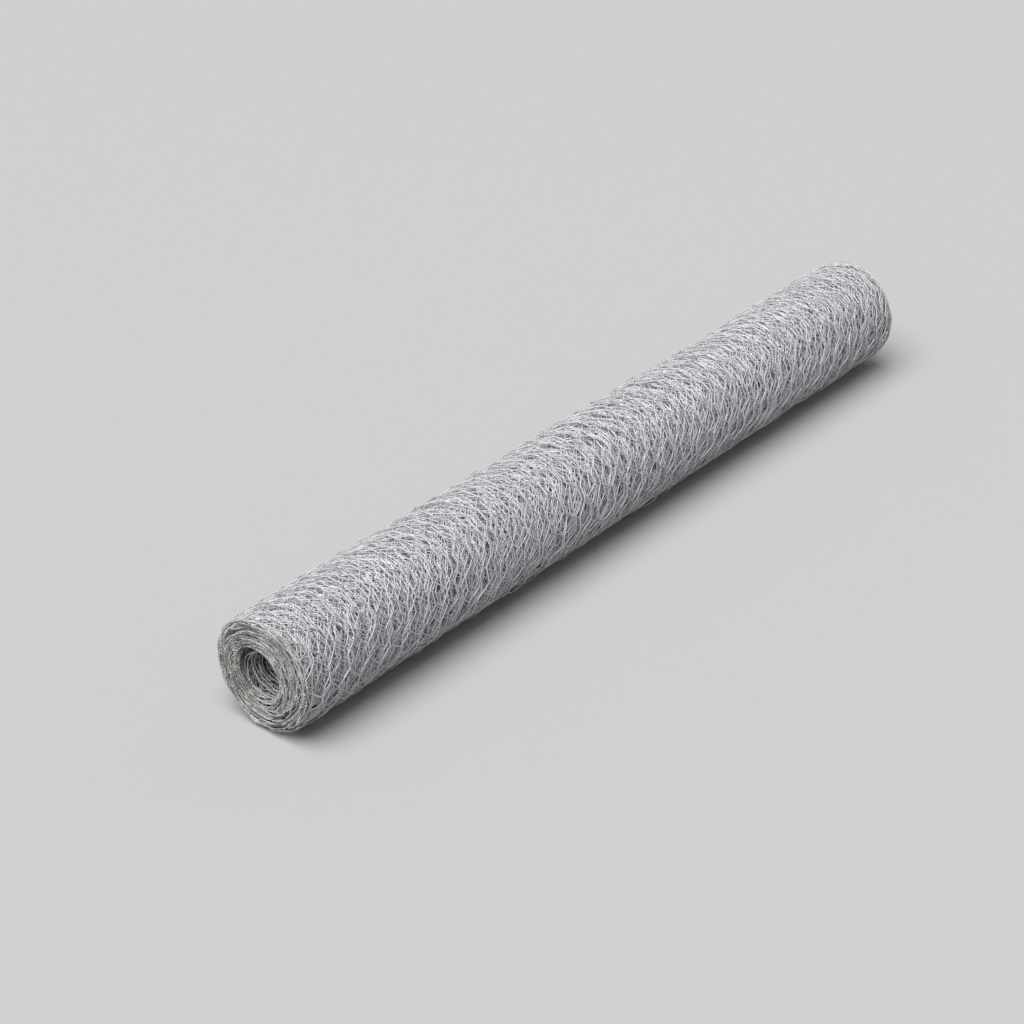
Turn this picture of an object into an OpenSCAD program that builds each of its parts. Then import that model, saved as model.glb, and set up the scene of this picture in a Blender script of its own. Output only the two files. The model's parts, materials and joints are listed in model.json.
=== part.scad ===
// Roll of hexagonal wire netting, lying on its side.
// One length of galvanised netting wound up without a tube: a turned solid with an open core,
// whose ends show the edge of every turn. Millimetres, +X along the roll, +Z up,
// origin on the floor under the middle of the roll.

/* [Netting] */
// Width of the netting, which is the length of the roll
netting_w = 1000; // [300:50:1800]
// Length of the netting that is wound up, in metres
netting_len_m = 20; // [10:1:25]
// Thickness that one turn takes up in the winding, where neighbouring turns nest
turn_t = 0.555; // [0.5:0.005:0.8]

/* [Core] */
// Diameter of the open core that the first turn is wound round
core_d = 37; // [25:1:60]
// Groups of turns at the core that are drawn in, each further than the one round it
core_groups = 4; // [1:1:5]
// Turns in each of those groups
group_turns = 2; // [1:1:2]
// Step from one group to the next
group_step = 7.5; // [2:0.5:10]

/* [Winding] */
// How far the edges of neighbouring turns wander in and out
stagger = 0.7; // [0:0.1:1.2]

/* [Outer wrap] */
// Turns of the outer wrap, whose edges lie flush in one plane up to the rounded rim
wrap_turns = 18; // [12:1:20]
// Turns that are drawn in under the outer wrap and leave a gap there
gap_turns = 4; // [1:1:4]
// Depth of that gap below the flush edges
gap_depth = 4; // [2:0.5:12]
// Outermost turns of the wrap, which round the rim off
rim_turns = 9; // [2:1:10]
// How far the outermost edge lies back from the flush ones
rim_drop = 3; // [0:0.5:6]

/* [Turn edges] */
// Depth of the groove between the edges of two turns
groove_depth = 0.6; // [0.2:0.1:1.5]
// Share of a turn's thickness that the flat crest of its edge takes up
crest = 0.5; // [0.3:0.05:0.8]

/* [Hidden] */

$fn = 128;
galvanised = [0.67, 0.67, 0.70];

half_w = netting_w / 2;
core_r = core_d / 2;
// The wound length fills the ring between the core and the outside, one turn thick
roll_r = sqrt(core_r * core_r + netting_len_m * 1000 * turn_t / PI);
turns = round((roll_r - core_r) / turn_t);
pitch = (roll_r - core_r) / turns;
wrap_from = turns - wrap_turns;
gap_from = wrap_from - gap_turns;
rim_from = turns - rim_turns;
// Distance from a groove's bottom to the crest beside it
flank = pitch * (1 - crest) / 2;
// Successive turns wander by this angle, so that no pattern repeats over the winding
wander_step = 137.5;

// Radius of the inside of a turn, counted from the core
function turn_r(i) = core_r + i * pitch;

// How far a turn is drawn in with its group at the core, the outermost group by half a step
function core_draw(i) = group_step * max(0, core_groups - floor(i / group_turns) - 1 / 2);

// How far a turn lies back where the rim is rounded off
function rim_setback(i) = rim_drop * pow(max(0, i + 1 - rim_from) / rim_turns, 2);

// How far the edge of a turn lies inside the flush edges
function setback(i) =
    i >= wrap_from ? rim_setback(i) :
    i >= gap_from ? gap_depth :
    core_draw(i) + stagger * (1 + sin(i * wander_step));

// Height of a turn's edge above the middle of the roll
function edge_h(i) = half_w - setback(i);

// Crest of one turn's edge
function crest_points(i) = [
    [i == 0 ? core_r : turn_r(i) + flank, edge_h(i)],
    [i == turns - 1 ? roll_r : turn_r(i + 1) - flank, edge_h(i)]
];

// Bottom of the groove between a turn and the next one out
function groove_point(i) = [turn_r(i + 1), min(edge_h(i), edge_h(i + 1)) - groove_depth];

// Section of one end, from the core out to the rim
function end_points() = [
    for (i = [0 : turns - 1])
        each concat(crest_points(i), i < turns - 1 ? [groove_point(i)] : [])
];

// The same section at the other end, from the rim back to the core
function mirrored(points) = [
    for (k = [len(points) - 1 : -1 : 0]) [points[k].x, -points[k].y]
];

// Wound section, turned about the axis and laid down along X
module netting_roll() {
    near_end = end_points();
    color(galvanised)
        translate([0, 0, roll_r])
            rotate([0, 90, 0])
                rotate_extrude()
                    polygon(concat(near_end, mirrored(near_end)));
}

netting_roll();
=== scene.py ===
"""Looks of a roll of hexagonal wire netting, lying on its side.

One length of galvanised netting is wound on a spiral round an open core. Every wire is a tube that zigzags
along the netting and is twisted with the wire beside it at each joint, and every turn is built wire by
wire, more finely towards the outside.
Metres, +X along the roll, +Z up, origin on the floor under the middle of the roll.
"""

from __future__ import annotations

import json
import logging
import math
from dataclasses import dataclass, field
from enum import Enum, IntEnum
from typing import Any

import bpy
import numpy as np
from mathutils import Matrix, Vector

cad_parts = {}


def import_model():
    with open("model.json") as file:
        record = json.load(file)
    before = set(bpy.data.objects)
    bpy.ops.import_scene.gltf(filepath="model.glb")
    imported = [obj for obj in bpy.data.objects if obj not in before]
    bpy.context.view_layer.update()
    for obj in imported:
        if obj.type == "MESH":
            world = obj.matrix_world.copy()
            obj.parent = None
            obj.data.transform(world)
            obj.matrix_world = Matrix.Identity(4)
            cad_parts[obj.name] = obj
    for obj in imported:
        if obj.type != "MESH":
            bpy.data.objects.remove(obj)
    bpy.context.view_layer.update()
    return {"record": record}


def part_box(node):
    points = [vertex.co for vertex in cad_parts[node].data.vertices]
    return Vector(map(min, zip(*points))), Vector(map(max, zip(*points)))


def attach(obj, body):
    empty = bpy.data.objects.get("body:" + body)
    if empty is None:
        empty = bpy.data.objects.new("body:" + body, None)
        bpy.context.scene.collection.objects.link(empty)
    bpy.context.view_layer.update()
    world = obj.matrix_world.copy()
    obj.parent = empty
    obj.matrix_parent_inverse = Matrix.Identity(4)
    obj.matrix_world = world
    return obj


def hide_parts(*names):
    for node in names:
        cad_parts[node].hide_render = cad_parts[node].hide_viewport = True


MM = 0.001
FULL_TURN = 2 * math.pi
WIRE = 0.9 * MM
CAPS_PER_TUBE = 2
BODY = "root"
NODE = "netting_roll"
CORE_MOUNT = "core_bore"
BAKE_MAP = "OFBake"
Colour = tuple[float, float, float]
Point = tuple[float, float, float]
Numbers = float | np.ndarray
Socket = bpy.types.NodeSocket

log = logging.getLogger(NODE)


def smooth_step(value: Numbers, low: float, high: float) -> Numbers:
    """Eases from 0 at low to 1 at high.

    Args:
        value: Numbers to ease.
        low: Where the rise starts.
        high: Where the rise ends.

    Returns:
        Numbers from 0 to 1, in the shape of value.
    """
    share = np.clip((value - low) / (high - low), 0.0, 1.0)
    return share * share * (3.0 - 2.0 * share)


def mix(start: Numbers, end: Numbers, share: Numbers) -> Numbers:
    """Goes from start to end by share."""
    return start + (end - start) * share


class End(Enum):
    """Which end of the roll, by the sign of X there."""

    LEFT = -1
    RIGHT = 1


class Irregularity(IntEnum):
    """What is uneven about a joint and the wires from it, by its place among the random draws."""

    ACROSS = 0
    ALONG = 1
    LIFT = 2
    LENGTH = 3
    BOW = 4


class Detail(Enum):
    """How finely a wire is drawn."""

    FINE = (12, 2, 5, 4)
    MEDIUM = (8, 2, 4, 3)
    ROUGH = (2, 1, 2, 3)
    PLAIN = (1, 0, 1, 3)

    def __init__(self, twist_points: int, twist_rounds: int, slant_points: int, sides: int) -> None:
        """Names the counts of each option.

        Args:
            twist_points: Points along one twist.
            twist_rounds: Times that the two wires of a twist go round each other.
            slant_points: Points along one slant.
            sides: Sides of the tube.
        """
        self.twist_points = twist_points
        self.twist_rounds = twist_rounds
        self.slant_points = slant_points
        self.sides = sides


@dataclass(frozen=True)
class Unevenness:
    """Smooth seeded unevenness over a surface, as a sum of plane waves.

    Attributes:
        height: Root mean square height.
        across: Typical wavelength along the first coordinate.
        along: Typical wavelength along the second coordinate.
        seed: Seed of the random draws.
        waves: Number of waves in the sum.
        slowest: Rate of the longest waves, where 1 has the typical wavelength.
        fastest: Rate of the shortest waves.
    """

    height: float
    across: float
    along: float
    seed: int
    waves: int = 14
    slowest: float = 0.6
    fastest: float = 1.5

    def at(self, x: np.ndarray, y: np.ndarray) -> np.ndarray:
        """Unevenness at points.

        Args:
            x: First coordinates.
            y: Second coordinates.

        Returns:
            Heights, in the shape of x and y.
        """
        draw = np.random.default_rng(self.seed)
        headings = draw.uniform(0.0, FULL_TURN, self.waves)
        rates = draw.uniform(self.slowest, self.fastest, self.waves)
        phases = draw.uniform(0.0, FULL_TURN, self.waves)
        total = np.zeros(np.broadcast(x, y).shape)
        for heading, rate, phase in zip(headings, rates, phases):
            share = math.cos(heading) * x / self.across + math.sin(heading) * y / self.along
            total += np.sin(FULL_TURN * rate * share + phase)
        # Each wave has a mean square of one half
        return self.height * math.sqrt(2.0 / self.waves) * total


@dataclass(frozen=True)
class Lobe:
    """Something that is strongest to one side of the roll and fades away from there.

    Attributes:
        height: Its value where it is strongest.
        bearing: Direction of that place, in degrees from +Y towards +Z.
        spread: Angle from there to where it has faded, in degrees.
    """

    height: float
    bearing: float
    spread: float

    def at(self, bearing: np.ndarray) -> np.ndarray:
        """Its value in a direction, which is given in radians."""
        away = np.abs((bearing - math.radians(self.bearing) + math.pi) % FULL_TURN - math.pi)
        return self.height * (1.0 - smooth_step(away, 0.0, math.radians(self.spread)))


@dataclass(frozen=True)
class Slack:
    """A crescent gap that a loosely drawn turn leaves against the turn before it.

    Attributes:
        turn: Turn after which the gap lies, counted from the core.
        gap: Width of the gap round the roll.
        draw: How far the turns inside the gap are drawn in at the ends.
    """

    turn: int
    gap: Lobe
    draw: float = 0.0


def drawn_core(
    pairs: int = 4,
    within: float = 2.5 * MM,
    between: float = 5.0 * MM,
    narrow: Lobe = Lobe(0.5 * MM, 300.0, 150.0),
    wide: Lobe = Lobe(7.5 * MM, 38.0, 100.0),
) -> tuple[Slack, ...]:
    """Gaps between the turns at the core, which are drawn in pair by pair and leave a wide gap round them.

    Args:
        pairs: Pairs of turns that are drawn in.
        within: Step in at the ends from one turn of a pair to the other.
        between: Step in from one pair to the next.
        narrow: Gap between two turns that are drawn in.
        wide: Gap between them and the rest of the winding.

    Returns:
        The gaps, from the core out.
    """
    last = 2 * pairs
    slacks = [Slack(turn, narrow, within if turn % 2 else between) for turn in range(1, last)]
    return (*slacks, Slack(last, wide, (within + between) / 2.0))


@dataclass
class Winding:
    """The spiral that the netting is wound on, and how its turns lie.

    Attributes:
        half_width: Half the width of the netting.
        core_radius: Radius of the open core.
        outer_radius: Radius of the roll.
        wire: Diameter of the wire.
        netting_length: Length of netting that is wound up.
        wrap_turns: Turns of the outer wrap, whose edges lie flush.
        gap_turns: Turns drawn in under the outer wrap.
        gap_depth: Depth of the gap that they leave.
        edge_reach: How far from the edge a drawn-in turn pulls the netting along.
        lap_bearing: Direction of the outer end of the netting, from +Y towards +Z.
        step: Share of a turn over which the edge steps in or out.
        core_slacks: Gaps between the first turns, which are drawn in group by group.
        wrap_slack: Gap under the outer wrap.
        fray: How much more the edges wander on the side where they are most ragged.
        shoulder_drop: How far the outermost turn bends in at its edges.
        shoulder_reach: Width over which it bends in.
        shoulder_power: Power of the turn by which that bend grows towards the outside.
        looseness: How far the outermost turn stands off.
        loose_from: Turns from the outside at which the netting starts to stand off.
        loose_to: Turns from the outside at which it stands off fully.
        calm_turns: Turns at the core and at the rim over which bunching and clumping fade.
        edge_inset: How far the edges lie inside the ends of the solid on average.
        edge_proud: How far an edge may stand out past them.
        rim_turns: Outermost turns, whose edges lie more even and round the rim off.
        rim_calm: Share of the inset and wander that they keep.
        core_calm: Share of them that the edges at the core keep.
        rim_drop: How far the outermost edge lies back from the rest.
        edge_wobble: How the turns wobble in and out near their edges.
        wobble_reach: Width over which that wobble dies away.
        edge_pits: How groups of edges lie deeper, over turns.
        pit_loop: Turns' worth of those pits that a way round the roll passes on either side.
        edge_ripple: How an edge ripples within a turn.
        bunching: How turns bunch up and part, over turns and bearing.
        clumping: How neighbouring turns clump together, over turns and bearing.
        lumps: Unevenness that every turn follows.
        turn_lumps: Unevenness of each turn by itself.
    """

    half_width: float
    core_radius: float
    outer_radius: float
    wire: float
    netting_length: float = 20.0
    wrap_turns: int = 18
    gap_turns: int = 4
    gap_depth: float = 4.0 * MM
    edge_reach: float = 0.12
    lap_bearing: float = math.radians(-50.0)
    step: float = 0.3
    core_slacks: tuple[Slack, ...] = field(default_factory=drawn_core)
    wrap_slack: Slack = Slack(57, Lobe(2.8 * MM, 45.0, 95.0))
    fray: Lobe = Lobe(1.4, 222.0, 80.0)
    shoulder_drop: float = 2.4 * MM
    shoulder_reach: float = 16.0 * MM
    shoulder_power: int = 4
    looseness: float = 0.9 * MM
    loose_from: float = 1.5
    loose_to: float = 0.5
    calm_turns: float = 9.0
    edge_inset: float = 1.8 * MM
    edge_proud: float = 1.0 * MM
    rim_turns: int = 9
    rim_calm: float = 0.4
    core_calm: float = 0.4
    rim_drop: float = 3.0 * MM
    edge_wobble: Unevenness = Unevenness(0.5 * MM, 1.0, 0.04, 17)
    wobble_reach: float = 30.0 * MM
    edge_pits: Unevenness = Unevenness(2.8 * MM, 6.0, 6.0, 11)
    pit_loop: float = 3.5
    edge_ripple: Unevenness = Unevenness(2.4 * MM, 1.0, 0.07, 14)
    bunching: Unevenness = Unevenness(0.9 * MM, 12.0, 2.4, 15)
    clumping: Unevenness = Unevenness(0.95 * MM, 5.0, 0.8, 16)
    lumps: Unevenness = Unevenness(0.3 * MM, 0.25, 1.0, 12)
    turn_lumps: Unevenness = Unevenness(0.3 * MM, 0.07, 0.09, 13)

    @classmethod
    def from_frame(cls, record: dict[str, Any], wire: float) -> Winding:
        """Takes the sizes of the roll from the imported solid.

        Args:
            record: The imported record.
            wire: Diameter of the wire.

        Returns:
            The winding.
        """
        _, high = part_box(NODE)
        bore = next(mount for mount in record["mounts"] if mount["name"] == CORE_MOUNT)
        return cls(
            half_width=high.x,
            core_radius=bore["dims"]["r_mm"] * MM,
            outer_radius=bore["pos_m"][2],
            wire=wire,
        )

    @property
    def turns(self) -> int:
        """Whole turns in the roll."""
        ring = math.pi * (self.outer_radius**2 - self.core_radius**2)
        return round((self.outer_radius - self.core_radius) * self.netting_length / ring)

    @property
    def core_turns(self) -> int:
        """Turns at the core that are drawn in."""
        return self.core_slacks[-1].turn

    @property
    def first_radius(self) -> float:
        """Middle of the netting where the winding starts."""
        return self.core_radius + self.wire

    @property
    def growth(self) -> float:
        """Gain in radius for each radian of winding."""
        return (self.outer_radius - self.wire - self.first_radius) / (FULL_TURN * self.turns)

    @property
    def longest_run(self) -> float:
        """Length of netting on the spiral."""
        return self.run_at(self.turns)

    def angle_at(self, run: np.ndarray) -> np.ndarray:
        """Winding angle after a run of netting from the core."""
        return (np.sqrt(self.first_radius**2 + 2.0 * self.growth * run) - self.first_radius) / self.growth

    def run_at(self, turn: Numbers) -> Numbers:
        """Length of netting from the core to the start of a turn."""
        angle = FULL_TURN * turn
        return self.first_radius * angle + self.growth * angle * angle / 2.0

    def setback(self, turn: np.ndarray, end: np.ndarray) -> np.ndarray:
        """How far the edge of the netting lies inside the rim.

        Args:
            turn: Turns from the core, with their fractions.
            end: Which end of the roll, -1 or 1.

        Returns:
            Setbacks, in the shape of turn.
        """
        wrap_from = self.turns - self.wrap_turns
        gap_from = wrap_from - self.gap_turns
        in_gap = smooth_step(turn, gap_from - self.step, gap_from + self.step)
        in_wrap = smooth_step(turn, wrap_from - self.step, wrap_from + self.step)
        core = np.zeros_like(turn)
        for slack in self.core_slacks:
            closed = self.closed_turn(slack)
            core += slack.draw * (1.0 - smooth_step(turn, closed - self.step, closed + self.step))
        run = self.run_at(turn)
        angle = FULL_TURN * turn
        pits = self.edge_pits.at(turn + self.pit_loop * np.cos(angle), end * self.pit_loop * np.sin(angle))
        wander = np.maximum(self.edge_inset + pits + self.edge_ripple.at(end, run), -self.edge_proud)
        at_rim = np.clip(1.0 - (self.turns - turn) / self.rim_turns, 0.0, 1.0)
        at_core = 1.0 - smooth_step(turn, self.core_turns, self.core_turns + self.calm_turns)
        wander *= mix(1.0, self.rim_calm, at_rim) * mix(1.0, self.core_calm, at_core)
        wander *= 1.0 + self.fray.at(self.lap_bearing + angle)
        return core + self.gap_depth * (in_gap - in_wrap) + wander + self.rim_drop * at_rim * at_rim

    def closed_turn(self, slack: Slack) -> float:
        """Turn, with its fraction, at which the netting steps past a gap on the side where it is closed."""
        return slack.turn + (math.radians(slack.gap.bearing) + math.pi - self.lap_bearing) / FULL_TURN % 1.0

    def give(self, turn: np.ndarray, bearing: np.ndarray) -> np.ndarray:
        """How far the gaps, the bunching and the clumping push the turns outwards.

        Args:
            turn: Turns from the core, with their fractions.
            bearing: Directions from the axis.

        Returns:
            Shifts in radius, in the shape of turn.
        """
        outer = self.closed_turn(self.wrap_slack)
        push = -self.wrap_slack.gap.at(bearing) * np.clip(turn / outer, 0.0, 1.0)
        for slack in self.core_slacks:
            inner = self.closed_turn(slack)
            left_over = 1.0 - (turn - inner) / (outer - inner)
            push += np.where(turn > inner, slack.gap.at(bearing) * left_over, 0.0)
        settled = smooth_step(turn, self.core_turns, self.core_turns + self.calm_turns)
        inside = settled * (1.0 - smooth_step(turn, self.turns - self.calm_turns, self.turns))
        uneven = self.bunching.at(turn, bearing) + self.clumping.at(turn, bearing)
        return np.where(turn < outer, push, 0.0) + inside * uneven

    def bend(self, across: np.ndarray) -> np.ndarray:
        """How far the netting has bent in towards its edges, from 0 to 1."""
        inside = self.half_width - np.abs(across)
        # The step is half way up at the very edge, so twice what is left of it comes to 1 there
        return 2.0 * (1.0 - smooth_step(inside, -self.shoulder_reach, self.shoulder_reach))

    def place(self, across: np.ndarray, run: np.ndarray, lift: np.ndarray) -> tuple[np.ndarray, np.ndarray]:
        """Winds points of the netting up on the spiral.

        Args:
            across: Places across the netting, from its middle.
            run: Places along the netting, from the core.
            lift: Heights out of the netting, away from the core.

        Returns:
            Points of the roll, and at each the direction away from the roll's axis.
        """
        angle = self.angle_at(run)
        turn = angle / FULL_TURN
        bearing = self.lap_bearing + angle - FULL_TURN * self.turns
        inside = self.half_width - np.abs(across)
        end = np.sign(across)
        near_edge = 1.0 - smooth_step(inside, 0.0, self.edge_reach)
        x = across - end * self.setback(turn, end) * near_edge
        radius = self.first_radius + self.growth * angle + lift + self.give(turn, bearing)
        radius += turn / self.turns * (self.lumps.at(x, np.sin(bearing)) + self.turn_lumps.at(x, run))
        radius -= self.shoulder_drop * self.bend(across) * (turn / self.turns) ** self.shoulder_power
        wobble = 1.0 - smooth_step(inside, 0.0, self.wobble_reach)
        radius += wobble * self.edge_wobble.at(end, run)
        outermost = smooth_step(turn, self.turns - self.loose_from, self.turns - self.loose_to)
        bulge = np.maximum(self.turn_lumps.at(run, x), 0.0)
        radius += self.looseness * outermost * bulge / self.turn_lumps.height
        outward = np.stack([np.zeros_like(bearing), np.cos(bearing), np.sin(bearing)], axis=-1)
        points = outward * radius[..., None]
        points[..., 0] = x
        # No wire goes down into the floor
        points[..., 2] = np.maximum(points[..., 2] + self.outer_radius, self.wire)
        return points, outward


@dataclass
class Tubes:
    """Many tubes of one gauge, joined into one mesh.

    Attributes:
        points: Middle lines, as an array of tubes, points and coordinates.
        outward: At each point, a direction across the tube.
        radius: Radius of the tube.
        sides: Sides of the tube.
    """

    points: np.ndarray
    outward: np.ndarray
    radius: float
    sides: int

    @property
    def corner_radius(self) -> float:
        """Radius to the corners, at which the tube looks as wide as a round one."""
        return self.radius * math.pi / (self.sides * math.sin(math.pi / self.sides))

    def rings(self) -> np.ndarray:
        """Corners of the tubes.

        Returns:
            Array of tubes, points, corners and coordinates.
        """
        along = np.gradient(self.points, axis=1)
        along /= np.linalg.norm(along, axis=-1, keepdims=True)
        first = self.outward - along * np.sum(self.outward * along, axis=-1, keepdims=True)
        first /= np.linalg.norm(first, axis=-1, keepdims=True)
        second = np.cross(along, first)
        corner = np.arange(self.sides) * FULL_TURN / self.sides
        spread = (
            first[:, :, None, :] * np.cos(corner)[None, None, :, None]
            + second[:, :, None, :] * np.sin(corner)[None, None, :, None]
        )
        return self.points[:, :, None, :] + self.corner_radius * spread

    def build(self, name: str) -> bpy.types.Object:
        """Makes the joined mesh.

        Args:
            name: Name of the piece.

        Returns:
            The new object.
        """
        rings = self.rings()
        tubes, count, sides, _ = rings.shape
        index = np.arange(tubes * count * sides).reshape(tubes, count, sides)
        turned = np.roll(index, -1, axis=2)
        corners = (index[:, :-1], turned[:, :-1], turned[:, 1:], index[:, 1:])
        walls = np.stack(corners, axis=-1).reshape(-1, len(corners))
        caps = np.concatenate([index[:, 0, ::-1], index[:, -1]])
        return joined_mesh(name, rings.reshape(-1, 3), [walls, caps], self.bake_map(tubes, count - 1))

    def bake_map(self, tubes: int, stretches: int) -> np.ndarray:
        """Lays the tubes out flat: a cell of the map for each stretch of a tube, then one for each cap.

        Args:
            tubes: Number of tubes.
            stretches: Stretches of each tube.

        Returns:
            Places on the map of the corners of all walls, then of all caps.
        """
        quilt = Quilt(tubes * (stretches + CAPS_PER_TUBE))
        cell = np.arange(tubes * stretches)[:, None, None]
        side = np.arange(self.sides)[None, :, None]
        walls = quilt.place(cell, np.array([0, 0, 1, 1]), (side + np.array([0, 1, 1, 0])) / self.sides)
        corner = np.arange(self.sides) * FULL_TURN / self.sides
        cap = tubes * stretches + np.arange(CAPS_PER_TUBE * tubes)[:, None]
        caps = quilt.place(cap, (1.0 + np.cos(corner)) / 2.0, (1.0 + np.sin(corner)) / 2.0)
        return np.concatenate([walls.reshape(-1, 2), caps.reshape(-1, 2)])


@dataclass(frozen=True)
class Quilt:
    """A map of like cells, row by row.

    Attributes:
        cells: Number of cells.
    """

    cells: int

    @property
    def columns(self) -> int:
        """Cells in a row."""
        return math.ceil(math.sqrt(self.cells))

    @property
    def rows(self) -> int:
        """Rows of cells."""
        return math.ceil(self.cells / self.columns)

    def place(self, cell: np.ndarray, along: np.ndarray, around: np.ndarray) -> np.ndarray:
        """Places within cells.

        Args:
            cell: Numbers of the cells.
            along: Shares of a cell's width.
            around: Shares of a cell's height.

        Returns:
            Places on the map, from 0 to 1 both ways.
        """
        row, column = np.divmod(cell, self.columns)
        places = np.broadcast_arrays((column + along) / self.columns, (row + around) / self.rows)
        return np.stack(places, axis=-1)


def joined_mesh(
    name: str, points: np.ndarray, face_sets: list[np.ndarray], bake_map: np.ndarray | None = None
) -> bpy.types.Object:
    """Makes a smooth mesh object from arrays.

    Args:
        name: Name of the object.
        points: Corners, one row each.
        face_sets: Arrays of faces, each of one number of corners a face.
        bake_map: Places of the face corners on the map that its finish is baked on, if it has one.

    Returns:
        The new object, linked to the scene.
    """
    mesh = bpy.data.meshes.new(name)
    loops = np.concatenate([faces.ravel() for faces in face_sets])
    sizes = np.concatenate([np.full(len(faces), faces.shape[1]) for faces in face_sets])
    starts = np.concatenate([[0], np.cumsum(sizes)[:-1]])
    mesh.vertices.add(len(points))
    mesh.vertices.foreach_set("co", points.astype(np.float32).ravel())
    mesh.loops.add(len(loops))
    mesh.loops.foreach_set("vertex_index", loops.astype(np.int32))
    mesh.polygons.add(len(sizes))
    mesh.polygons.foreach_set("loop_start", starts.astype(np.int32))
    if bake_map is not None:
        layer = mesh.uv_layers.new(name=BAKE_MAP)
        layer.data.foreach_set("uv", bake_map.astype(np.float32).ravel())
    mesh.update(calc_edges=True)
    mesh.validate()
    mesh.shade_smooth()
    piece = bpy.data.objects.new(name, mesh)
    bpy.context.scene.collection.objects.link(piece)
    return piece


@dataclass(frozen=True)
class JointSpread:
    """Standard spread of the small irregularities of the netting.

    Attributes:
        across: Shift of a twist across the netting.
        along: Shift of a twist along the netting.
        lift: Shift of a twist out of the netting.
        length: Share by which a twist is longer or shorter.
        bow: How far a slanted wire bows to the side.
    """

    across: float = 1.1 * MM
    along: float = 1.5 * MM
    lift: float = 0.5 * MM
    length: float = 0.12
    bow: float = 0.7 * MM


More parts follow.
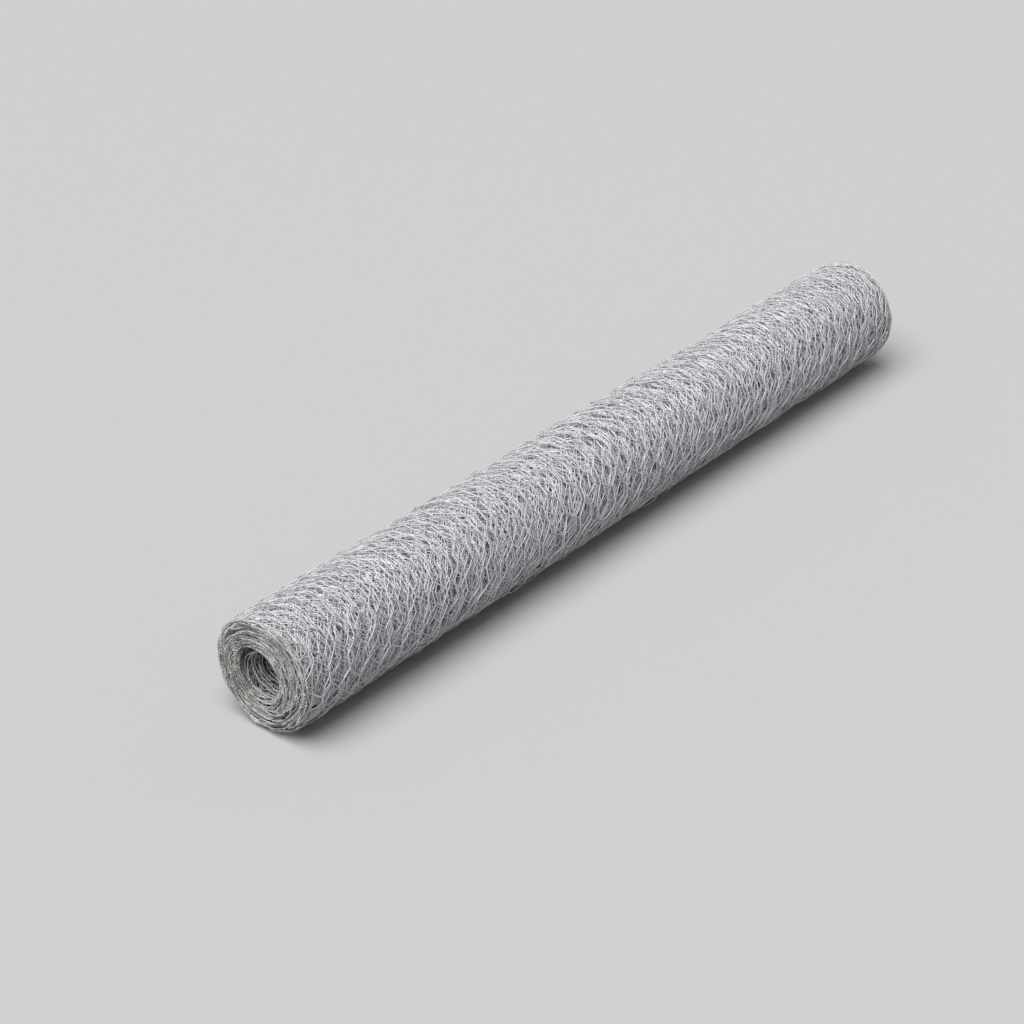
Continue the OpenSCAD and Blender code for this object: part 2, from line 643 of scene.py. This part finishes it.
@dataclass
class Netting:
    """The netting: zigzag wires that are twisted together at every joint.

    Attributes:
        winding: The spiral that it is wound on.
        wire: Diameter of the wire.
        cell_width: Distance across the netting between the twists of one row.
        twist_length: Length of a twist.
        slant_length: Length along the netting of a slanted wire.
        spread: Its small irregularities.
        seed: Seed of the irregularities.
        spare_rows: Rows of irregularities past the last turn, for the wires that run on.
        edge_calm: Width at each edge over which the netting comes to lie straight.
        wander: How the netting wanders over a few cells.
        drift: How the whole width drifts from turn to turn.
        skew: How the rows run ahead or behind.
    """

    winding: Winding
    wire: float
    cell_width: float = 29.0 * MM
    twist_length: float = 16.0 * MM
    slant_length: float = 12.75 * MM
    spread: JointSpread = JointSpread()
    seed: int = 7
    spare_rows: int = 2
    edge_calm: float = 0.05
    wander: Unevenness = Unevenness(1.0 * MM, 0.09, 0.11, 21)
    drift: Unevenness = Unevenness(4.5 * MM, 1.5, 0.35, 22)
    skew: Unevenness = Unevenness(5.0 * MM, 0.35, 0.8, 23)

    @property
    def wires(self) -> int:
        """Wires across the netting."""
        return round(2.0 * self.winding.half_width / (self.cell_width / 2.0))

    @property
    def half_cell(self) -> float:
        """Distance between two neighbouring columns of twists."""
        return 2.0 * self.winding.half_width / self.wires

    @property
    def row_pitch(self) -> float:
        """Distance along the netting between two rows of twists."""
        return self.twist_length + self.slant_length

    def first_row(self, turn: int) -> int:
        """First row of twists of a turn."""
        return math.ceil(self.winding.run_at(turn) / self.row_pitch)

    def rows_of(self, first_turn: int, last_turn: int) -> range:
        """Rows of twists from one turn up to the start of another."""
        return range(self.first_row(first_turn), self.first_row(last_turn))

    def draws(self) -> np.ndarray:
        """Seeded random numbers for every joint.

        Returns:
            Array of rows, columns and kinds of irregularity.
        """
        rows = self.first_row(self.winding.turns) + self.spare_rows
        shape = (rows, self.wires + 1, len(Irregularity))
        return np.random.default_rng(self.seed).normal(0.0, 1.0, shape)

    def joints(self, row: np.ndarray, column: np.ndarray) -> tuple[np.ndarray, ...]:
        """Twists of the netting.

        Args:
            row: Rows of the twists.
            column: Columns of the twists.

        Returns:
            Middles of the twists across and along the netting, heights out of it, and half lengths.
        """
        draw = self.draws()[row, column]
        across = column * self.half_cell - self.winding.half_width
        calm = smooth_step(self.winding.half_width - np.abs(across), 0.0, self.edge_calm)
        return (
            across + self.spread.across * calm * draw[..., Irregularity.ACROSS],
            row * self.row_pitch + self.spread.along * draw[..., Irregularity.ALONG],
            self.spread.lift * draw[..., Irregularity.LIFT],
            self.twist_length / 2.0 * (1.0 + self.spread.length * draw[..., Irregularity.LENGTH]),
        )

    def strands(self, wires: range, rows: range, detail: Detail) -> Tubes:
        """Wires over a stretch of the netting.

        Args:
            wires: Which wires, counted across the netting.
            rows: Which rows of twists.
            detail: How finely they are drawn.

        Returns:
            The wires, wound up on the roll.
        """
        wire, row = np.meshgrid(np.array(wires), np.array(rows), indexing="ij")
        on_low_side = (wire + row) % 2 == 0
        side = np.where(on_low_side, 1.0, -1.0)[..., None] * self.wire / 2.0
        here = self.joints(row, np.where(on_low_side, wire, wire + 1))
        after = self.joints(row + 1, np.where(on_low_side, wire + 1, wire))
        across, run, lift, half = (value[..., None] for value in here)
        next_across, next_run, next_lift, next_half = (value[..., None] for value in after)

        twist = np.arange(detail.twist_points) / detail.twist_points
        phase = FULL_TURN * detail.twist_rounds * twist
        slant = np.arange(detail.slant_points) / detail.slant_points
        sag = self.draws()[row, wire, Irregularity.BOW][..., None]
        bow = self.spread.bow * sag * np.sin(math.pi * slant)
        parts = (
            (across + side * np.cos(phase), mix(across + side, next_across - side, slant) + bow),
            (run + (2.0 * twist - 1.0) * half, mix(run + half, next_run - next_half, slant)),
            (lift + side * np.sin(phase), mix(lift, next_lift, slant)),
        )
        across, run, lift = (np.concatenate(part, axis=2).reshape(len(wires), -1) for part in parts)
        points, outward = self.winding.place(*self.settle(across, run), lift)
        return Tubes(points, outward, self.wire / 2.0, detail.sides)

    def settle(self, across: np.ndarray, run: np.ndarray) -> tuple[np.ndarray, np.ndarray]:
        """Lets the netting wander, drift and skew as loosely wound netting does.

        Args:
            across: Places across the netting.
            run: Places along the netting.

        Returns:
            The shifted places across and along.
        """
        calm = smooth_step(self.winding.half_width - np.abs(across), 0.0, self.edge_calm)
        sideways = self.wander.at(across, run) + self.drift.at(across, run)
        forward = self.skew.at(across, run)
        return across + sideways * calm, np.clip(run + forward, 0.0, self.winding.longest_run)


@dataclass
class Edge:
    """One edge of the netting: a wire that the outer mesh wires are tied round.

    Attributes:
        netting: The netting.
        end: Which end of the roll.
        spacing: Distance between the points along the edge wire.
        knot_length: Length of the winding where a mesh wire is tied round the edge wire.
        knot_rounds: Times that it goes round.
        knot_points: Points of that winding.
    """

    netting: Netting
    end: End
    spacing: float = 5.0 * MM
    knot_length: float = 9.0 * MM
    knot_rounds: float = 2.5
    knot_points: int = 12

    def strand(self, first_turn: int, last_turn: int) -> Tubes:
        """The edge wire over some turns, wound up on the roll.

        Args:
            first_turn: Turn at which the stretch starts.
            last_turn: Turn up to whose start it goes.

        Returns:
            One long wire.
        """
        winding, wire = self.netting.winding, self.netting.wire
        start, stop = winding.run_at(first_turn), winding.run_at(last_turn)
        run = np.linspace(start, stop, math.ceil((stop - start) / self.spacing))[None, :]
        across = np.full_like(run, self.end.value * winding.half_width)
        points, outward = winding.place(across, run, np.zeros_like(run))
        return Tubes(points, outward, wire / 2.0, Detail.PLAIN.sides)

    def knots(self, first_turn: int, last_turn: int) -> Tubes:
        """The windings over some turns where mesh wires are tied round the edge wire.

        Args:
            first_turn: Turn at which the stretch starts.
            last_turn: Turn up to whose start it goes.

        Returns:
            One short wire for each of them.
        """
        netting, winding = self.netting, self.netting.winding
        column = 0 if self.end is End.LEFT else netting.wires
        rows = np.array(netting.rows_of(first_turn, last_turn))
        rows = rows[((rows + column) % 2 == 0) & (rows > 0)]
        across, run, _, _ = netting.joints(rows, np.full_like(rows, column))
        across, run = (value[:, None] for value in netting.settle(across, run))
        share = np.linspace(-0.5, 0.5, self.knot_points)
        phase = FULL_TURN * self.knot_rounds * share
        across = across + netting.wire * np.cos(phase)
        run = np.clip(run + self.knot_length * share, 0.0, winding.longest_run)
        lift = np.broadcast_to(netting.wire * np.sin(phase), across.shape)
        points, outward = winding.place(across, run, lift)
        return Tubes(points, outward, netting.wire / 2.0, Detail.ROUGH.sides)


def combine(tree: bpy.types.NodeTree, operation: str, first: Socket, second: Socket) -> Socket:
    """Adds a node that works one number out from two.

    Args:
        tree: Nodes that it joins.
        operation: What it does with the two.
        first: The first number.
        second: The second number.

    Returns:
        The result.
    """
    node = tree.nodes.new("ShaderNodeMath")
    node.operation = operation
    tree.links.new(first, node.inputs[0])
    tree.links.new(second, node.inputs[1])
    return node.outputs["Value"]


def blend(tree: bpy.types.NodeTree, share: Socket, start: Socket, end: Socket) -> Socket:
    """Adds a node that goes from one colour to another.

    Args:
        tree: Nodes that it joins.
        share: Share of the second colour.
        start: The first colour.
        end: The second colour.

    Returns:
        The blended colour.
    """
    node = tree.nodes.new("ShaderNodeMix")
    node.data_type = "RGBA"
    tree.links.new(share, node.inputs["Factor"])
    tree.links.new(start, node.inputs["A"])
    tree.links.new(end, node.inputs["B"])
    return node.outputs["Result"]


class ZincSurface:
    """Shader group for weathered zinc: mottled bright and dull metal, with a film of dust.

    Attributes:
        NAME: Name of the group.
        COLOUR: Kind of socket that holds a colour.
        VALUE: Kind of socket that holds a number.
        INPUTS: Names and kinds of what a finish sets.
        OUTPUTS: Names and kinds of what the group works out.
        MOTTLE: Scale and detail of the fine mottling.
        PATCHES: Scale and detail of the larger patches.
        BRIGHT_BELOW: Sum of the two up to which the zinc is all bright.
        DULL_ABOVE: Sum of the two from which it is all dull.
    """

    NAME = "zinc_surface"
    COLOUR = "NodeSocketColor"
    VALUE = "NodeSocketFloat"
    INPUTS = (
        ("Bright", COLOUR),
        ("Dull", COLOUR),
        ("Dust", COLOUR),
        ("Dust Amount", VALUE),
        ("Roughness Low", VALUE),
        ("Roughness High", VALUE),
    )
    OUTPUTS = (("Color", COLOUR), ("Roughness", VALUE), ("Height", VALUE))
    MOTTLE = (160.0, 4.0)
    PATCHES = (22.0, 3.0)
    BRIGHT_BELOW = 0.75
    DULL_ABOVE = 1.25

    @classmethod
    def group(cls) -> bpy.types.NodeTree:
        """The shader group, made on first use."""
        return bpy.data.node_groups.get(cls.NAME) or cls.make()

    @classmethod
    def make(cls) -> bpy.types.NodeTree:
        """Makes the shader group.

        Returns:
            The new group.
        """
        tree = bpy.data.node_groups.new(cls.NAME, "ShaderNodeTree")
        for name, kind in cls.INPUTS:
            tree.interface.new_socket(name=name, in_out="INPUT", socket_type=kind)
        for name, kind in cls.OUTPUTS:
            tree.interface.new_socket(name=name, in_out="OUTPUT", socket_type=kind)
        nodes = tree.nodes
        link = tree.links.new
        source = nodes.new("NodeGroupInput")
        target = nodes.new("NodeGroupOutput")

        place = nodes.new("ShaderNodeTexCoord").outputs["Object"]
        mottle = cls.noise(tree, place, *cls.MOTTLE)
        patches = cls.noise(tree, place, *cls.PATCHES)
        dullness = nodes.new("ShaderNodeMapRange")
        dullness.inputs["From Min"].default_value = cls.BRIGHT_BELOW
        dullness.inputs["From Max"].default_value = cls.DULL_ABOVE
        link(combine(tree, "ADD", mottle, patches), dullness.inputs["Value"])
        share = dullness.outputs["Result"]

        zinc = blend(tree, share, source.outputs["Bright"], source.outputs["Dull"])
        film = combine(tree, "MULTIPLY", patches, source.outputs["Dust Amount"])
        link(blend(tree, film, zinc, source.outputs["Dust"]), target.inputs["Color"])

        rough = nodes.new("ShaderNodeMapRange")
        link(share, rough.inputs["Value"])
        link(source.outputs["Roughness Low"], rough.inputs["To Min"])
        link(source.outputs["Roughness High"], rough.inputs["To Max"])
        link(rough.outputs["Result"], target.inputs["Roughness"])
        link(mottle, target.inputs["Height"])
        return tree

    @staticmethod
    def noise(tree: bpy.types.NodeTree, place: Socket, scale: float, detail: float) -> Socket:
        """Adds a noise texture.

        Args:
            tree: Nodes that it joins.
            place: Where on the piece it is looked up.
            scale: How closely it repeats.
            detail: How much fine detail it has.

        Returns:
            Its value.
        """
        texture = tree.nodes.new("ShaderNodeTexNoise")
        texture.inputs["Scale"].default_value = scale
        texture.inputs["Detail"].default_value = detail
        tree.links.new(place, texture.inputs["Vector"])
        return texture.outputs["Fac"]


@dataclass(frozen=True)
class GalvanisedFinish:
    """Galvanised wire as it comes off the machine and dulls, with painted shade or painted light in the
    colours of some finishes.

    Attributes:
        name: Name of the material.
        bright: Colour of fresh zinc, or a paler colour where a finish paints light.
        dull: Colour of dulled zinc, or a darker colour where a finish paints shade.
        dust: Colour of the dust on it.
        dust_amount: Share of dust.
        roughness: Roughness of fresh and of dulled zinc.
        metallic: Share of bare metal.
        bump_depth: Depth of the fine unevenness of the zinc.
    """

    name: str
    bright: Colour = (0.96, 0.955, 0.99)
    dull: Colour = (0.90, 0.895, 0.935)
    dust: Colour = (0.80, 0.74, 0.66)
    dust_amount: float = 0.1
    roughness: tuple[float, float] = (0.42, 0.62)
    metallic: float = 0.4
    bump_depth: float = 0.05 * MM

    def build(self) -> bpy.types.Material:
        """Makes the material.

        Returns:
            The new material.
        """
        material = bpy.data.materials.new(self.name)
        material.use_nodes = True
        nodes = material.node_tree.nodes
        link = material.node_tree.links.new
        shader = nodes["Principled BSDF"]
        shader.inputs["Metallic"].default_value = self.metallic
        zinc = nodes.new("ShaderNodeGroup")
        zinc.node_tree = ZincSurface.group()
        zinc.inputs["Bright"].default_value = (*self.bright, 1.0)
        zinc.inputs["Dull"].default_value = (*self.dull, 1.0)
        zinc.inputs["Dust"].default_value = (*self.dust, 1.0)
        zinc.inputs["Dust Amount"].default_value = self.dust_amount
        fresh, dulled = self.roughness
        zinc.inputs["Roughness Low"].default_value = fresh
        zinc.inputs["Roughness High"].default_value = dulled
        link(zinc.outputs["Color"], shader.inputs["Base Color"])
        link(zinc.outputs["Roughness"], shader.inputs["Roughness"])
        bump = nodes.new("ShaderNodeBump")
        bump.inputs["Distance"].default_value = self.bump_depth
        link(zinc.outputs["Height"], bump.inputs["Height"])
        link(bump.outputs["Normal"], shader.inputs["Normal"])
        return material


class WireFinish(Enum):
    """Finish of the wire, by where in the roll it lies, some with painted shade or painted light."""

    # Inner turns: paler than the outer turns, partly cleaner zinc and partly painted light that lifts the
    # shade deep between the turns.
    INNER = GalvanisedFinish("galvanised_wire")
    # Painted shade: the turns at the core are painted a darker grey, standing in for the shade in the bore
    # and in the wide gap round the drawn-in turns.
    CORE = GalvanisedFinish(
        "dull_core_wire",
        bright=(0.66, 0.65, 0.65),
        dull=(0.50, 0.49, 0.49),
    )
    # Painted light: the edges of the drawn-in core turns are painted near white and matt, standing in for
    # light that reaches into the bore.
    CORE_EDGE = GalvanisedFinish(
        "galvanised_core_edge_wire",
        bright=(0.98, 0.975, 0.985),
        dull=(0.88, 0.875, 0.89),
        dust_amount=0.05,
        roughness=(0.5, 0.7),
        metallic=0.2,
    )
    # Outer turns: weathered zinc, darker than the inner turns, whose paler colour is partly painted light.
    OUTER = GalvanisedFinish(
        "weathered_wire",
        bright=(0.88, 0.875, 0.915),
        dull=(0.76, 0.755, 0.79),
        roughness=(0.52, 0.72),
        metallic=0.45,
    )
    # Painted shade: the edge wires on the ends have dull zinc far darker than the netting's, partly dulled
    # zinc and partly painted shade on the ends of the roll.
    EDGE = GalvanisedFinish(
        "galvanised_edge_wire",
        bright=(0.97, 0.96, 0.93),
        dull=(0.38, 0.375, 0.36),
        dust_amount=0.05,
        roughness=(0.5, 0.7),
        metallic=0.25,
    )
    # Painted shade: the edge wires of the rim have the same darker dull zinc, milder, partly dulled zinc
    # and partly painted shade on the ends.
    RIM_EDGE = GalvanisedFinish(
        "galvanised_rim_wire",
        bright=(0.90, 0.895, 0.91),
        dull=(0.58, 0.575, 0.585),
        dust_amount=0.05,
        roughness=(0.5, 0.7),
        metallic=0.25,
    )


@dataclass(frozen=True)
class Layer:
    """Neighbouring turns of the netting, which make one piece.

    Attributes:
        turns: Number of turns.
        detail: How finely their wires are drawn.
        finish: Finish of their wires.
    """

    turns: int
    detail: Detail
    finish: WireFinish


@dataclass
class Roll:
    """The whole roll: its turns of netting and its two edges.

    Attributes:
        netting: The netting that is wound up.
        layers: Layers of netting from the outside in, down to the core.
        materials: Materials of the finishes, made when the roll is built.
    """

    netting: Netting
    layers: tuple[Layer, ...] = (
        Layer(1, Detail.FINE, WireFinish.OUTER),
        Layer(1, Detail.MEDIUM, WireFinish.OUTER),
        Layer(1, Detail.MEDIUM, WireFinish.OUTER),
        Layer(4, Detail.ROUGH, WireFinish.OUTER),
        # The turns under the outer ones take the paler finish, which is partly painted light for the shade
        # deep in the roll.
        Layer(12, Detail.PLAIN, WireFinish.INNER),
        Layer(14, Detail.PLAIN, WireFinish.INNER),
        Layer(18, Detail.PLAIN, WireFinish.INNER),
    )
    materials: dict[WireFinish, bpy.types.Material] = field(default_factory=dict, init=False)

    @property
    def core_layer(self) -> Layer:
        """Layer of all the turns inside the others."""
        outside = sum(layer.turns for layer in self.layers)
        # The core turns take the darker finish, which is painted shade for the bore.
        return Layer(self.netting.winding.turns - outside, Detail.PLAIN, WireFinish.CORE)

    def build(self) -> None:
        """Builds and dresses every piece of the roll."""
        self.materials = {finish: finish.value.build() for finish in WireFinish}
        self.build_netting()
        self.build_edges()

    def build_netting(self) -> None:
        """Builds and dresses the layers of netting, from the outside in."""
        wires = range(self.netting.wires)
        last = self.netting.winding.turns
        for layer in (*self.layers, self.core_layer):
            first = last - layer.turns
            strands = self.netting.strands(wires, self.netting.rows_of(first, last), layer.detail)
            self.dress(strands.build(f"netting_turns_{first + 1:02d}_{last:02d}"), layer.finish)
            last = first

    def build_edges(self) -> None:
        """Builds and dresses the edge wires and the mesh that is tied round them, at both ends."""
        winding = self.netting.winding
        rim = winding.turns - winding.rim_turns
        stretches = (
            # Edges at the core: near white, as painted light in the bore.
            (0, winding.core_turns, WireFinish.CORE_EDGE),
            # Edges further out: dark dull zinc that is partly painted shade on the ends.
            (winding.core_turns, rim, WireFinish.EDGE),
            (rim, winding.turns, WireFinish.RIM_EDGE),
        )
        for end in End:
            edge = Edge(self.netting, end)
            for first, last, finish in stretches:
                stretch = f"{end.name.lower()}_{first + 1:02d}_{last:02d}"
                self.dress(edge.strand(first, last).build(f"edge_wire_{stretch}"), finish)
                self.dress(edge.knots(first, last).build(f"edge_knots_{stretch}"), finish)

    def dress(self, piece: bpy.types.Object, finish: WireFinish) -> None:
        """Gives a piece its finish and ties it to the roll.

        Args:
            piece: The piece.
            finish: Its finish.
        """
        piece.data.materials.append(self.materials[finish])
        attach(piece, BODY)
        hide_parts(NODE)
        triangles = sum(len(face.vertices) - 2 for face in piece.data.polygons)
        log.info("%s: %d triangles", piece.name, triangles)


@dataclass
class Studio:
    """Camera, floor and light.

    Attributes:
        camera_place: Where the camera stands.
        camera_yaw: Heading of the camera, from +Y towards +X.
        camera_pitch: How far the camera looks down.
        lens: Focal length, in millimetres.
        sensor: Width of the sensor, in millimetres.
        floor_reach: How far the floor goes each way.
        floor_colour: Colour of the floor as it is seen.
        floor_bounce: Colour of the light that it throws back on the roll.
        floor_roughness: Roughness of the floor.
        world_colour: Colour of the light from all round.
        world_level: Strength of that light.
        key_from: Direction that the key light comes from.
        key_angle: Angle that the key light fills, which makes it soft.
        key_level: Strength of the key light, where 1 lights a white face turned to it up to white.
    """

    camera_place: Point = (-1.94597, -1.51095, 1.50019)
    camera_yaw: float = 0.876956
    camera_pitch: float = 0.543933
    lens: float = 93.81
    sensor: float = 36.0
    floor_reach: float = 20.0
    floor_colour: Colour = (0.56, 0.56, 0.56)
    floor_bounce: Colour = (0.18, 0.18, 0.18)
    floor_roughness: float = 0.9
    world_colour: Colour = (0.97, 0.98, 1.0)
    world_level: float = 0.24
    key_from: Point = (-0.4, 0.0, 1.0)
    key_angle: float = math.radians(50.0)
    key_level: float = 0.95

    def build(self) -> None:
        """Builds the camera, the floor and the light."""
        self.build_camera()
        self.build_floor()
        self.build_world()
        self.build_key()

    def build_camera(self) -> None:
        """Stands the camera where the roll is seen from."""
        sine, cosine = math.sin(self.camera_pitch), math.cos(self.camera_pitch)
        forward = Vector((math.sin(self.camera_yaw) * cosine, math.cos(self.camera_yaw) * cosine, -sine))
        right = Vector((math.cos(self.camera_yaw), -math.sin(self.camera_yaw), 0.0))
        turned = Matrix((right, right.cross(forward), -forward)).transposed()
        data = bpy.data.cameras.new("camera")
        data.lens = self.lens
        data.sensor_width = self.sensor
        camera = bpy.data.objects.new("camera", data)
        camera.matrix_world = Matrix.Translation(self.camera_place) @ turned.to_4x4()
        bpy.context.scene.collection.objects.link(camera)
        bpy.context.scene.camera = camera

    def build_floor(self) -> None:
        """Lays the floor."""
        reach = self.floor_reach
        corners = np.array([(-reach, -reach, 0), (reach, -reach, 0), (reach, reach, 0), (-reach, reach, 0)])
        floor = joined_mesh("floor", corners, [np.array([[0, 1, 2, 3]])])
        floor.data.materials.append(self.floor_material())

    def floor_material(self) -> bpy.types.Material:
        """Makes the floor's material, which is pale to look at and throws little light back on the roll.

        Returns:
            The new material.
        """
        material = bpy.data.materials.new("floor")
        material.use_nodes = True
        tree = material.node_tree
        nodes = tree.nodes
        link = tree.links.new
        shader = nodes["Principled BSDF"]
        shader.inputs["Roughness"].default_value = self.floor_roughness
        ray = nodes.new("ShaderNodeLightPath")
        seen = ray.outputs["Is Camera Ray"]
        for kind in ("Is Glossy Ray", "Is Transmission Ray"):
            seen = combine(tree, "MAXIMUM", seen, ray.outputs[kind])
        tint = nodes.new("ShaderNodeMix")
        tint.data_type = "RGBA"
        tint.inputs["A"].default_value = (*self.floor_bounce, 1.0)
        tint.inputs["B"].default_value = (*self.floor_colour, 1.0)
        link(seen, tint.inputs["Factor"])
        link(tint.outputs["Result"], shader.inputs["Base Color"])
        return material

    def build_world(self) -> None:
        """Lights the scene evenly from all round."""
        world = bpy.data.worlds.new("studio")
        world.use_nodes = True
        background = world.node_tree.nodes["Background"]
        background.inputs["Color"].default_value = (*self.world_colour, 1.0)
        background.inputs["Strength"].default_value = self.world_level
        bpy.context.scene.world = world

    def build_key(self) -> None:
        """Hangs the soft key light over the roll."""
        data = bpy.data.lights.new("key", "SUN")
        data.energy = math.pi * self.key_level
        data.angle = self.key_angle
        key = bpy.data.objects.new("key", data)
        key.rotation_euler = Vector(self.key_from).to_track_quat("Z", "Y").to_euler()
        bpy.context.scene.collection.objects.link(key)


def main() -> None:
    """Builds the studio and the roll."""
    logging.basicConfig(level=logging.INFO, format="%(name)s: %(message)s")
    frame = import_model()
    bpy.context.scene.view_settings.view_transform = "Standard"
    winding = Winding.from_frame(frame["record"], WIRE)
    Studio().build()
    Roll(Netting(winding, WIRE)).build()


if __name__ == "__main__":
    main()
